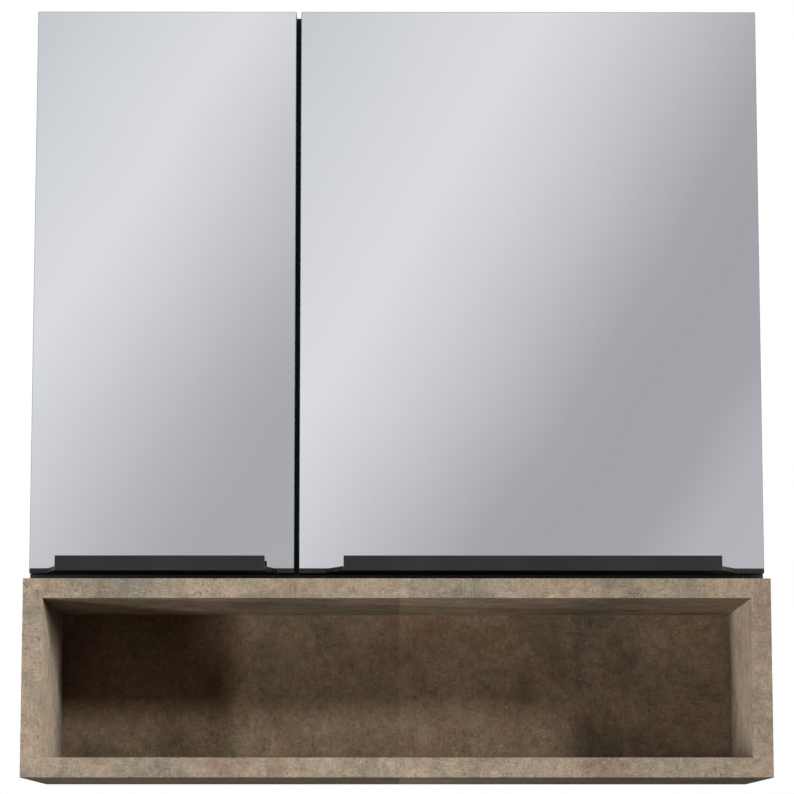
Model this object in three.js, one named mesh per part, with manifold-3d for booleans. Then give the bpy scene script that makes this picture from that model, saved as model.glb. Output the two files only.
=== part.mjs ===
// Wall-hung medicine cabinet: a graphite cabinet with two hinged mirror doors of unequal width, standing
// on an open shelf box with mitred corners. Millimetres, +X to the right, +Y towards the wall, +Z up.
// The origin is the centre of the hanging rail's wall-side face.

import * as THREE from "three";
import { mergeVertices } from "three/addons/utils/BufferGeometryUtils.js";
import Module from "manifold-3d";

const wasm = await Module();
wasm.setup();

// ---------------------------------------------------------------- driving dimensions

const width = 600;
const height = 635;
const depth = 200;
const board = 16;

const shelfBox = { height: 159, backGap: 17 };

const back = { gap: 12, thickness: 8, notchWidth: 14, notchHeight: 28 };

const door = {
  faceFromWall: 170,
  mirror: 3,
  board: 16,
  toCarcass: 2,
  sideReveal: 1.5,
  meetingGap: 4,
  leftWidth: 215,
  aboveBox: 10.5,
};

// Grip edge strip under each door: a flange over the door's lower edge, with a lip standing up in front.
const grip = { flange: 3.5, projection: 24, lipHeight: 12, lipThickness: 3 };
const leftGrip = { margin: 23, diagonal: 9.5 };
const rightGrip = { margin: 36.5, diagonal: 15.7 };

const shelf = { count: 2, thickness: 5, endGap: 1.5, frontInset: 14, backGap: 3 };

// Shelf pins and the drilled rows that take them.
const pin = {
  radius: 2.4,
  chamfer: 0.6,
  insert: 6.5,
  proud: 7,
  collarRadius: 3.6,
  collar: 1.2,
  rest: 0.1,
  holeRadius: 2.5,
  holeDepth: 7,
  holePitch: 32,
  frontInset: 37,
  backInset: 28,
  sides: 10,
};

// Concealed hinges. Distances across are from the cabinet side's inner face, and lengths along Y are
// from the carcass's front edge.
const hingeFromDoorEnd = 75;
const cup = {
  fromDoorEdge: 22.5,
  holeRadius: 17.5,
  holeDepth: 12,
  radius: 17.3,
  depth: 11.5,
  wall: 1.3,
  rimRadius: 19,
  rim: 1,
  segments: 28,
};
const ears = { width: 15, height: 58, offset: 7, corner: 4, screwSpacing: 48 };
const arm = { base: 8, top: 16, wall: 1.3, halfHeight: 7, frontInset: 6, length: 60, screwsAt: [21, 42] };
const plate = {
  thickness: 2.5,
  spineTop: 7.6,
  spineGap: 0.5,
  frontInset: 22,
  length: 36,
  wingFront: 10,
  wingBack: 6,
  wingReach: 23,
  screwFromWingTip: 6,
};
const link = { fromDoorEdge: 24, thickness: 4, height: 9, length: 58, standOff: 1 };
const screwHead = { radius: 3.2, height: 1.4, sides: 12 };

const bumper = { radius: 2.6, height: 1.6, belowTop: 30, segments: 16 };

// Steel wall rail: a web against the wall, whose upper edge steps forward into a lip for the hooks.
const rail = {
  belowTop: 60,
  steel: 2,
  webHeight: 36,
  lipHeight: 14,
  lipOffset: 5,
  endGap: 4,
  slotRadius: 3.5,
  slotReach: 5,
  slotsAt: [-224, -98, 98, 224],
};

// Cabinet hangers: a plastic housing in each upper corner, with two adjusting dials and a steel hook.
const hanger = { width: 15, depth: 58, height: 40, gap: 0.5, chamfer: 8 };
const dial = {
  heights: [14, 29],
  radius: 4,
  proud: 1.5,
  seat: 1,
  sides: 16,
  slotLength: 6,
  slotWidth: 1.2,
  slotDepth: 0.8,
};
const hook = {
  thickness: 3,
  height: 6,
  root: 4,
  rootLength: 8,
  ramp: 2,
  drop: 10,
  nose: 2,
  gap: 0.4,
  wallGap: 1.4,
};

// ---------------------------------------------------------------- derived places

const halfWidth = width / 2;
const innerHalf = halfWidth - board;
const doorFace = -door.faceFromWall;
const doorBoardFront = doorFace + door.mirror;
const doorBack = doorBoardFront + door.board;
const carcassFront = doorBack + door.toCarcass;
const doorBottom = shelfBox.height + door.aboveBox;
const leftDoor = { x0: -halfWidth + door.sideReveal, x1: -halfWidth + door.sideReveal + door.leftWidth };
const rightDoor = { x0: leftDoor.x1 + door.meetingGap, x1: halfWidth - door.sideReveal };
const partitionX = (leftDoor.x1 + rightDoor.x0) / 2;
const partitionFaces = [partitionX - board / 2, partitionX + board / 2];
const floorTop = shelfBox.height + board;
const ceiling = height - board;
const backPanelFront = -(back.gap + back.thickness);
const railCentre = height - rail.belowTop;
const railLipTop = railCentre + rail.webHeight / 2 + rail.lipHeight;
const hingeLevels = { lower: doorBottom + hingeFromDoorEnd, upper: height - hingeFromDoorEnd };
const pinColumns = { front: carcassFront + pin.frontInset, rear: backPanelFront - pin.backInset };
const shelfPitch = (ceiling - floorTop) / (shelf.count + 1);
const shelfLevels = { lower: floorTop + shelfPitch, upper: floorTop + 2 * shelfPitch };
const compartments = {
  left: { x0: -innerHalf, x1: partitionFaces[0] },
  right: { x0: partitionFaces[1], x1: innerHalf },
};

// ---------------------------------------------------------------- materials

function surface(color, roughness, metalness, extra = {}) {
  return new THREE.MeshStandardMaterial({ color, roughness, metalness, ...extra });
}

const materials = {
  decor: surface(0x8c7a63, 0.62, 0.0),
  graphite: surface(0x2b2c2e, 0.55, 0.0),
  mirror: surface(0xc9cdd2, 0.05, 1.0),
  blackMetal: surface(0x2a2c2c, 0.4, 0.6),
  shelfGlass: surface(0xd5e6df, 0.05, 0.0, { transparent: true, opacity: 0.35 }),
  nickel: surface(0xbdbcb8, 0.28, 1.0),
  zinc: surface(0xa7abae, 0.42, 1.0),
  hangerPlastic: surface(0x3a3b3d, 0.5, 0.0),
  silicone: surface(0xe2e4e4, 0.35, 0.0, { transparent: true, opacity: 0.7 }),
};

// ---------------------------------------------------------------- helpers

const cabinet = new THREE.Group();

function add(name, geometry, material, position = [0, 0, 0]) {
  const mesh = new THREE.Mesh(geometry, material);
  mesh.name = name;
  mesh.position.set(...position);
  cabinet.add(mesh);
}

function ordered(a, b) {
  return a < b ? [a, b] : [b, a];
}

function boxBetween(x, y, z) {
  const geometry = new THREE.BoxGeometry(x[1] - x[0], y[1] - y[0], z[1] - z[0]);
  geometry.translate((x[0] + x[1]) / 2, (y[0] + y[1]) / 2, (z[0] + z[1]) / 2);
  return geometry;
}

function outline(points) {
  return new THREE.Shape(points.map(([a, b]) => new THREE.Vector2(a, b)));
}

function extrude(shape, length, curveSegments) {
  return new THREE.ExtrudeGeometry(shape, { depth: length, bevelEnabled: false, curveSegments });
}

// An outline in Y and Z, extruded along X.
function extrudeAlongX(shape, [x0, x1], curveSegments = 8) {
  const geometry = extrude(shape, x1 - x0, curveSegments);
  geometry.rotateX(Math.PI / 2);
  geometry.rotateZ(Math.PI / 2);
  geometry.translate(x0, 0, 0);
  return geometry;
}

// An outline in X and Z, extruded along Y.
function extrudeAlongY(shape, [y0, y1], curveSegments = 8) {
  const geometry = extrude(shape, y1 - y0, curveSegments);
  geometry.rotateX(Math.PI / 2);
  geometry.translate(0, y1, 0);
  return geometry;
}

// An outline in X and Y, extruded up Z.
function extrudeAlongZ(shape, [z0, z1], curveSegments = 8) {
  const geometry = extrude(shape, z1 - z0, curveSegments);
  geometry.translate(0, 0, z0);
  return geometry;
}

function roundAlongX(radius, [x0, x1], y, z, sides) {
  const geometry = new THREE.CylinderGeometry(radius, radius, x1 - x0, sides);
  geometry.rotateZ(Math.PI / 2);
  geometry.translate((x0 + x1) / 2, y, z);
  return geometry;
}

function roundAlongY(radius, [y0, y1], x, z, sides) {
  const geometry = new THREE.CylinderGeometry(radius, radius, y1 - y0, sides);
  geometry.translate(x, (y0 + y1) / 2, z);
  return geometry;
}

// A profile of [radius, height] pairs turned about the Y axis.
function turned(profile, segments) {
  return new THREE.LatheGeometry(profile.map(([radius, y]) => new THREE.Vector2(radius, y)), segments);
}

function toSolid(geometry) {
  const bare = geometry.clone();
  bare.deleteAttribute("normal");
  bare.deleteAttribute("uv");
  const merged = mergeVertices(bare);
  return new wasm.Manifold(
    new wasm.Mesh({
      numProp: 3,
      vertProperties: new Float32Array(merged.attributes.position.array),
      triVerts: new Uint32Array(merged.index.array),
    }),
  );
}

function toGeometry(solid) {
  const mesh = solid.getMesh();
  const geometry = new THREE.BufferGeometry();
  geometry.setAttribute("position", new THREE.BufferAttribute(mesh.vertProperties, 3));
  geometry.setIndex(new THREE.BufferAttribute(mesh.triVerts, 1));
  return geometry;
}

function cut(geometry, tools) {
  return toGeometry(tools.reduce((solid, tool) => solid.subtract(toSolid(tool)), toSolid(geometry)));
}

function join(geometries) {
  return toGeometry(geometries.map(toSolid).reduce((sum, solid) => sum.add(solid)));
}

// ---------------------------------------------------------------- shelf box

// Four boards mitred at the corners, and a back panel set between them.
function addShelfBox() {
  const top = shelfBox.height;
  const low = board;
  const high = top - board;
  const boards = {
    bottom: [[-halfWidth, 0], [halfWidth, 0], [innerHalf, low], [-innerHalf, low]],
    top: [[-innerHalf, high], [innerHalf, high], [halfWidth, top], [-halfWidth, top]],
    left: [[-halfWidth, 0], [-innerHalf, low], [-innerHalf, high], [-halfWidth, top]],
    right: [[halfWidth, 0], [halfWidth, top], [innerHalf, high], [innerHalf, low]],
  };
  for (const [side, points] of Object.entries(boards)) {
    add(`shelf_box_${side}`, extrudeAlongY(outline(points), [-depth, 0]), materials.decor);
  }
  const panelY = [-shelfBox.backGap - board, -shelfBox.backGap];
  const panel = boxBetween([-innerHalf, innerHalf], panelY, [low, high]);
  add("shelf_box_back", panel, materials.decor);
}

// ---------------------------------------------------------------- carcass

// The drilled rows in one face of an upright. inward is +1 where the face looks along +X.
function pinHoles(faceX, inward) {
  const span = ordered(faceX - inward * pin.holeDepth, faceX + inward);
  return Object.values(shelfLevels).flatMap((level) =>
    [-1, 0, 1].flatMap((step) =>
      Object.values(pinColumns).map((y) =>
        roundAlongX(pin.holeRadius, span, y, level + step * pin.holePitch, pin.sides),
      ),
    ),
  );
}

function addCarcass() {
  const { graphite } = materials;
  for (const [name, side] of [["left", -1], ["right", 1]]) {
    const faceX = side * innerHalf;
    const x = ordered(faceX, side * halfWidth);
    const upright = boxBetween(x, [carcassFront, 0], [shelfBox.height, height]);
    add(`carcass_side_${name}`, cut(upright, pinHoles(faceX, -side)), graphite);
  }
  const between = [-innerHalf, innerHalf];
  add("carcass_bottom", boxBetween(between, [carcassFront, 0], [shelfBox.height, floorTop]), graphite);
  add("carcass_top", boxBetween(between, [carcassFront, 0], [ceiling, height]), graphite);

  const partition = boxBetween(partitionFaces, [carcassFront, backPanelFront], [floorTop, ceiling]);
  const holes = [...pinHoles(partitionFaces[0], -1), ...pinHoles(partitionFaces[1], 1)];
  add("carcass_partition", cut(partition, holes), graphite);
}

// The back panel has a notch in each upper corner for a hanger's hook.
function addBackPanel() {
  const notchX = innerHalf - back.notchWidth;
  const notchZ = ceiling - back.notchHeight;
  const shape = outline([
    [-innerHalf, floorTop], [innerHalf, floorTop], [innerHalf, notchZ], [notchX, notchZ],
    [notchX, ceiling], [-notchX, ceiling], [-notchX, notchZ], [-innerHalf, notchZ],
  ]);
  add("carcass_back", extrudeAlongY(shape, [backPanelFront, -back.gap]), materials.graphite);
}

// ---------------------------------------------------------------- glass shelves and their pins

// A shank in the hole, a collar against the board, and a stub that the glass rests on.
function pinGeometry(inward) {
  const { radius, chamfer, insert, proud, collarRadius, collar } = pin;
  const profile = [
    [0, -insert], [radius - chamfer, -insert], [radius, -insert + chamfer], [radius, 0], [collarRadius, 0],
    [collarRadius, collar], [radius, collar], [radius, proud - chamfer], [radius - chamfer, proud],
    [0, proud],
  ];
  const geometry = turned(profile, pin.sides);
  geometry.rotateZ((-inward * Math.PI) / 2);
  return geometry;
}

function addShelves() {
  const y = [carcassFront + shelf.frontInset, backPanelFront - shelf.backGap];
  for (const [side, { x0, x1 }] of Object.entries(compartments)) {
    for (const [tier, level] of Object.entries(shelfLevels)) {
      const underside = level + pin.radius + pin.rest;
      const x = [x0 + shelf.endGap, x1 - shelf.endGap];
      const pane = boxBetween(x, y, [underside, underside + shelf.thickness]);
      add(`glass_shelf_${side}_${tier}`, pane, materials.shelfGlass);
      for (const [row, pinY] of Object.entries(pinColumns)) {
        add(`shelf_pin_${side}_${tier}_${row}_a`, pinGeometry(1), materials.nickel, [x0, pinY, level]);
        add(`shelf_pin_${side}_${tier}_${row}_b`, pinGeometry(-1), materials.nickel, [x1, pinY, level]);
      }
    }
  }
}

// ---------------------------------------------------------------- doors

// side is +1 where a door's hinges are at its left edge, and -1 where they are at its right edge.
function hingedEdge(leaf, side) {
  return side > 0 ? leaf.x0 : leaf.x1;
}

// A board with pockets for the hinge cups, a mirror over its whole face, and a grip strip under both.
function addDoor(name, leaf, side, gripEnds) {
  const x = [leaf.x0, leaf.x1];
  const z = [doorBottom, height];
  const cupX = hingedEdge(leaf, side) + side * cup.fromDoorEdge;
  const pockets = Object.values(hingeLevels).map((level) =>
    roundAlongY(cup.holeRadius, [doorBack - cup.holeDepth, doorBack + 1], cupX, level, cup.segments),
  );
  const slab = boxBetween(x, [doorBoardFront, doorBack], z);
  add(`${name}_door_board`, cut(slab, pockets), materials.graphite);
  add(`${name}_door_mirror`, boxBetween(x, [doorFace, doorBoardFront], z), materials.mirror);
  add(`${name}_door_grip`, gripGeometry(leaf, gripEnds), materials.blackMetal);
}

// The flange covers the door's whole lower edge and widens forward under the lip, with diagonal ends.
function gripGeometry(leaf, { margin, diagonal }) {
  const front = doorFace - grip.projection;
  const low = doorBottom - grip.flange;
  const lip = [leaf.x0 + margin, leaf.x1 - margin];
  const plan = outline([
    [leaf.x0, doorBack], [leaf.x0, doorFace], [lip[0] - diagonal, doorFace], [lip[0], front],
    [lip[1], front], [lip[1] + diagonal, doorFace], [leaf.x1, doorFace], [leaf.x1, doorBack],
  ]);
  const upstand = boxBetween(lip, [front, front + grip.lipThickness], [low, low + grip.lipHeight]);
  return join([extrudeAlongZ(plan, [low, doorBottom]), upstand]);
}

// ---------------------------------------------------------------- concealed hinges

function roundedPlate([x0, x1], [z0, z1], radius) {
  const shape = new THREE.Shape();
  shape.absarc(x1 - radius, z1 - radius, radius, 0, Math.PI / 2, false);
  shape.absarc(x0 + radius, z1 - radius, radius, Math.PI / 2, Math.PI, false);
  shape.absarc(x0 + radius, z0 + radius, radius, Math.PI, 1.5 * Math.PI, false);
  shape.absarc(x1 - radius, z0 + radius, radius, 1.5 * Math.PI, 2 * Math.PI, false);
  return shape;
}

// The cup is drawn about its own centre on the door's back face, open towards +Y. Its ears hold two
// screws and sit further from the door's edge.
function cupGeometry(side) {
  const profile = [
    [0, -cup.depth], [cup.radius, -cup.depth], [cup.radius, 0],
    [cup.rimRadius, 0], [cup.rimRadius, cup.rim], [0, cup.rim],
  ];
  const middle = side * ears.offset;
  const earX = [middle - ears.width / 2, middle + ears.width / 2];
  const earPlate = roundedPlate(earX, [-ears.height / 2, ears.height / 2], ears.corner);
  const screwY = [cup.rim / 2, cup.rim + screwHead.height];
  const screws = [-1, 1].map((end) =>
    roundAlongY(screwHead.radius, screwY, middle, (end * ears.screwSpacing) / 2, screwHead.sides),
  );
  const body = [turned(profile, cup.segments), extrudeAlongY(earPlate, [0, cup.rim], 4), ...screws];
  const mouth = roundAlongY(cup.radius - cup.wall, [cup.wall - cup.depth, cup.rim + 1], 0, 0, cup.segments);
  return cut(join(body), [mouth]);
}

// A channel over the mounting plate, open towards the cabinet's side, with two adjusting screws.
function armGeometry(faceX, side, z) {
  const across = (a, b) => ordered(faceX + side * a, faceX + side * b);
  const about = (reach) => [z - reach, z + reach];
  const front = carcassFront + arm.frontInset;
  const rear = front + arm.length;
  const outer = boxBetween(across(arm.base, arm.top), [front, rear], about(arm.halfHeight));
  const channelX = across(arm.base - 1, arm.top - arm.wall);
  const channel = boxBetween(channelX, [front - 1, rear + 1], about(arm.halfHeight - arm.wall));
  const screwX = across(arm.top - arm.wall / 2, arm.top + screwHead.height);
  const screws = arm.screwsAt.map((y) =>
    roundAlongX(screwHead.radius, screwX, front + y, z, screwHead.sides),
  );
  return join([cut(outer, [channel]), ...screws]);
}

// A cross-shaped plate on the cabinet's side: two wings with a screw each, and a spine under the arm.
function plateGeometry(faceX, side, z) {
  const across = (a, b) => ordered(faceX + side * a, faceX + side * b);
  const front = carcassFront + plate.frontInset;
  const rear = front + plate.length;
  const wingY = [front + plate.wingFront, rear - plate.wingBack];
  const spineReach = arm.halfHeight - arm.wall - plate.spineGap;
  const wings = boxBetween(across(0, plate.thickness), wingY, [z - plate.wingReach, z + plate.wingReach]);
  const spine = boxBetween(across(0, plate.spineTop), [front, rear], [z - spineReach, z + spineReach]);
  const screwX = across(plate.thickness / 2, plate.thickness + screwHead.height);
  const screwY = (wingY[0] + wingY[1]) / 2;
  const screwReach = plate.wingReach - plate.screwFromWingTip;
  const screws = [-1, 1].map((end) =>
    roundAlongX(screwHead.radius, screwX, screwY, z + end * screwReach, screwHead.sides),
  );
  return join([wings, spine, ...screws]);
}

// A flat link that slides out of the arm as the door opens, rounded at the end that reaches the cup.
function linkGeometry(edgeX, side, z) {
  const near = edgeX + side * link.fromDoorEdge;
  const x = ordered(near, near + side * link.thickness);
  const tip = doorBack + link.standOff;
  const radius = link.thickness / 2;
  const shape = new THREE.Shape();
  shape.moveTo(x[1], tip + link.length);
  shape.lineTo(x[0], tip + link.length);
  shape.lineTo(x[0], tip + radius);
  shape.absarc(x[0] + radius, tip + radius, radius, Math.PI, 2 * Math.PI, false);
  shape.closePath();
  return extrudeAlongZ(shape, [z - link.height / 2, z + link.height / 2]);
}

function addHinges(name, leaf, side) {
  const edgeX = hingedEdge(leaf, side);
  const faceX = -side * innerHalf;
  const { nickel } = materials;
  for (const [level, z] of Object.entries(hingeLevels)) {
    const cupCentre = [edgeX + side * cup.fromDoorEdge, doorBack, z];
    add(`${name}_hinge_cup_${level}`, cupGeometry(side), nickel, cupCentre);
    add(`${name}_hinge_arm_${level}`, armGeometry(faceX, side, z), nickel);
    add(`${name}_hinge_plate_${level}`, plateGeometry(faceX, side, z), nickel);
    add(`${name}_hinge_link_${level}`, linkGeometry(edgeX, side, z), nickel);
  }
}

// ---------------------------------------------------------------- door bumpers

// A clear dome on the partition's front edge, behind the free edge of each door.
function addBumper(name, x) {
  const profile = [
    [0, 0], [bumper.radius, 0], [bumper.radius, bumper.height / 2],
    [bumper.radius / 2, bumper.height], [0, bumper.height],
  ];
  const dome = turned(profile, bumper.segments);
  dome.rotateX(Math.PI);
  add(name, dome, materials.silicone, [x, carcassFront, height - bumper.belowTop]);
}

// ---------------------------------------------------------------- wall rail and cabinet hangers

// An upright slot through the rail's web for a wall screw.
function screwSlot(x) {
  const shape = new THREE.Shape();
  shape.absarc(x, railCentre + rail.slotReach, rail.slotRadius, 0, Math.PI, false);
  shape.absarc(x, railCentre - rail.slotReach, rail.slotRadius, Math.PI, 2 * Math.PI, false);
  return extrudeAlongY(shape, [-rail.steel - 1, 1]);
}

function addWallRail() {
  const webTop = railCentre + rail.webHeight / 2;
  const webLow = railCentre - rail.webHeight / 2;
  const lipBack = -rail.lipOffset;
  const lipFront = lipBack - rail.steel;
  const section = outline([
    [0, webLow], [0, webTop], [lipBack, webTop], [lipBack, railLipTop], [lipFront, railLipTop],
    [lipFront, webTop - rail.steel], [-rail.steel, webTop - rail.steel], [-rail.steel, webLow],
  ]);
  const half = innerHalf - rail.endGap;
  const strip = extrudeAlongX(section, [-half, half]);
  add("wall_rail", cut(strip, rail.slotsAt.map(screwSlot)), materials.zinc);
}

// A housing in the upper corner, with two slotted dials on its front.
function housingGeometry(x, y, z) {
  const section = outline([
    [y[0], z[0] + hanger.chamfer], [y[0] + hanger.chamfer, z[0]], [y[1], z[0]], [y[1], z[1]], [y[0], z[1]],
  ]);
  const middle = (x[0] + x[1]) / 2;
  const dialFront = y[0] - dial.proud;
  const slotX = [middle - dial.slotLength / 2, middle + dial.slotLength / 2];
  const dials = dial.heights.map((up) =>
    roundAlongY(dial.radius, [dialFront, y[0] + dial.seat], middle, z[0] + up, dial.sides),
  );
  const slots = dial.heights.map((up) => {
    const slotZ = [z[0] + up - dial.slotWidth / 2, z[0] + up + dial.slotWidth / 2];
    return boxBetween(slotX, [dialFront - 1, dialFront + dial.slotDepth], slotZ);
  });
  return cut(join([extrudeAlongX(section, x), ...dials]), slots);
}

// The hook leaves the housing through the back panel's notch and drops behind the rail's lip.
function hookGeometry(middle, housingBack) {
  const under = railLipTop + hook.gap;
  const over = under + hook.height;
  const rampStart = housingBack + hook.rootLength;
  const dropFront = -rail.lipOffset + hook.gap;
  const section = outline([
    [housingBack, under - hook.root], [rampStart, under - hook.root], [rampStart + hook.ramp, under],
    [dropFront, under], [dropFront, under - hook.drop], [-hook.wallGap, under - hook.drop],
    [-hook.wallGap, over - hook.nose], [-hook.wallGap - hook.nose, over], [housingBack, over],
  ]);
  return extrudeAlongX(section, [middle - hook.thickness / 2, middle + hook.thickness / 2]);
}

function addHanger(name, side) {
  const faceX = side * innerHalf;
  const x = ordered(faceX - side * hanger.gap, faceX - side * (hanger.gap + hanger.width));
  const housingBack = backPanelFront - hanger.gap;
  const y = [housingBack - hanger.depth, housingBack];
  const z = [ceiling - hanger.gap - hanger.height, ceiling - hanger.gap];
  add(`hanger_housing_${name}`, housingGeometry(x, y, z), materials.hangerPlastic);
  add(`hanger_hook_${name}`, hookGeometry((x[0] + x[1]) / 2, housingBack + hanger.gap), materials.zinc);
}

// ---------------------------------------------------------------- the assembly

addShelfBox();
addCarcass();
addBackPanel();
addShelves();
addDoor("left", leftDoor, 1, leftGrip);
addDoor("right", rightDoor, -1, rightGrip);
addHinges("left", leftDoor, 1);
addHinges("right", rightDoor, -1);
addBumper("door_bumper_left", (partitionFaces[0] + leftDoor.x1) / 2);
addBumper("door_bumper_right", (partitionFaces[1] + rightDoor.x0) / 2);
addHanger("left", -1);
addHanger("right", 1);
addWallRail();

cabinet.position.z = -railCentre;

export default cabinet;
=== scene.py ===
"""The looks of a wall-hung medicine cabinet with two mirror doors over an open shelf box.

Metres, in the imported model's frame: X to the right, +Y towards the wall, +Z up.
"""

import math

import bmesh
import bpy
from mathutils import Matrix, Vector


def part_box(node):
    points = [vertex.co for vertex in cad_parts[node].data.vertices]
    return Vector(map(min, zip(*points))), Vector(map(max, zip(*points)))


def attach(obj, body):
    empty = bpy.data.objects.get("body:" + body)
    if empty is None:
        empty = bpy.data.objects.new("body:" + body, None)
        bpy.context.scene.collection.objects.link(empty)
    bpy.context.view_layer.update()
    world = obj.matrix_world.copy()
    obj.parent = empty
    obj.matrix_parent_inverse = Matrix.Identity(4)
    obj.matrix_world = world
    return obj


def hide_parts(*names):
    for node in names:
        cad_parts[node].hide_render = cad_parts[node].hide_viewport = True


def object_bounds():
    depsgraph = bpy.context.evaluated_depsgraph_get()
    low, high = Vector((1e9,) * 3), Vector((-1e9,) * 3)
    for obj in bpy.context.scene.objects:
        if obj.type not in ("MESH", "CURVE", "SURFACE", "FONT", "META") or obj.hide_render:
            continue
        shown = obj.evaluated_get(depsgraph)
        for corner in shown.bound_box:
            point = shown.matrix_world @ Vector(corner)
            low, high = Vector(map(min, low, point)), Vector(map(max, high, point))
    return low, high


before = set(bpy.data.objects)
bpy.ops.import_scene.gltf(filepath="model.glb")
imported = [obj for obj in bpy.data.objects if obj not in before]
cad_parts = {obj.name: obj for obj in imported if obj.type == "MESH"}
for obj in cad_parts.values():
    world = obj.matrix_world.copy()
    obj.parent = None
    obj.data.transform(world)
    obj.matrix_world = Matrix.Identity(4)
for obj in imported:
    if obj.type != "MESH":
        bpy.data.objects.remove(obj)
cad_low, cad_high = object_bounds()

MM = 0.001

RIGHT = Vector((1, 0, 0))
BACK = Vector((0, 1, 0))
UP = Vector((0, 0, 1))

SIDES = ("left", "right")
LEVELS = ("lower", "upper")

# ---------------------------------------------------------------- places taken from the frame

box_side_low, box_side_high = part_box("shelf_box_left")
box_front = box_side_low.y
box_bottom = cad_low.z
middle = (cad_low + cad_high) / 2

# ---------------------------------------------------------------- camera, light and floor

CAMERA_LENS = 141.76
CAMERA_SHIFT = 0.042
CAMERA_REACH = 100.0
# where the camera stands, from the middle of the shelf box's lower front edge
CAMERA_BACK = 2.5
CAMERA_BELOW = 0.0731
CAMERA_LEFT = 0.0092
# degrees: the pitch of a level camera, and how far this one is tilted up and turned to the right
CAMERA_LEVEL = 90
CAMERA_TILT = 8.012
CAMERA_TURN = 0.211

# name, azimuth from the front (positive to the right) and elevation in degrees, watts, width, distance
LAMPS = [
    ("key_left", -45, -2, 29, 0.26, 3.0),
    ("key_right", 45, 20.8, 76, 0.38, 3.25),
    ("low_left", -45, -25, 11, 0.4, 2.0),
    ("side_right", 78, 5.3, 88, 0.3, 3.0),
    ("side_left", -78, -3, 84, 0.3, 3.0),
    ("top", 180, 78, 35, 1.2, 3.0),
    ("back_right", 140, 25, 35, 1.0, 3.0),
    ("back_left", -140, 25, 35, 1.0, 3.0),
]
# how bright the white world is as light
AMBIENT = 0.13
WHITE = (1, 1, 1, 1)

FLOOR_BELOW = 1.6
FLOOR_SIZE = 30.0
FLOOR_GLOW = 0.93
FLOOR_PATCHES = 1.5


def show(thing):
    """Puts an object in the scene."""
    bpy.context.scene.collection.objects.link(thing)


def add_camera():
    """The camera: low in front of the shelf box, and tilted up at the doors."""
    data = bpy.data.cameras.new("camera")
    data.lens = CAMERA_LENS
    data.shift_y = CAMERA_SHIFT
    data.clip_end = CAMERA_REACH
    camera = bpy.data.objects.new("camera", data)
    camera.location = (middle.x - CAMERA_LEFT, box_front - CAMERA_BACK, box_bottom - CAMERA_BELOW)
    camera.rotation_euler = (math.radians(CAMERA_LEVEL + CAMERA_TILT), 0, math.radians(-CAMERA_TURN))
    show(camera)
    bpy.context.scene.camera = camera


def add_lamp(name, azimuth, elevation, watts, width, distance):
    """A soft round lamp that shines at the front of the shelf box, and that no mirror shows."""
    turn, rise = math.radians(azimuth), math.radians(elevation)
    away = Vector((math.sin(turn) * math.cos(rise), -math.cos(turn) * math.cos(rise), math.sin(rise)))
    target = Vector((middle.x, box_front, (box_side_low.z + box_side_high.z) / 2))
    data = bpy.data.lights.new(name, "AREA")
    data.shape = "DISK"
    data.size = width
    data.energy = watts
    lamp = bpy.data.objects.new(name, data)
    lamp.location = target + away * distance
    lamp.rotation_euler = (target - lamp.location).to_track_quat("-Z", "Y").to_euler()
    lamp.visible_glossy = False
    show(lamp)


def add_world():
    """White to the eye and in the mirrors, and a low grey as the light that fills the shadows."""
    world = bpy.data.worlds.new("studio")
    world.use_nodes = True
    world.cycles.sampling_method = "NONE"
    tree = world.node_tree
    background = tree.nodes["Background"]
    background.inputs["Color"].default_value = WHITE
    path = tree.nodes.new("ShaderNodeLightPath")
    strength = tree.nodes.new("ShaderNodeMapRange")
    strength.inputs["To Min"].default_value = 1.0
    strength.inputs["To Max"].default_value = AMBIENT
    tree.links.new(path.outputs["Is Diffuse Ray"], strength.inputs["Value"])
    tree.links.new(strength.outputs["Result"], background.inputs["Strength"])
    bpy.context.scene.world = world


# ---------------------------------------------------------------- material tools

# The range that most of a noise's values lie in.
NOISE_LOW = 0.3
NOISE_HIGH = 0.7


def linear(red, green, blue):
    """A screen colour of 0 to 255 as the linear colour that the nodes take."""
    def one(value):
        value = value / 255
        return value / 12.92 if value <= 0.04045 else ((value + 0.055) / 1.055) ** 2.4

    return (one(red), one(green), one(blue), 1.0)


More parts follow.
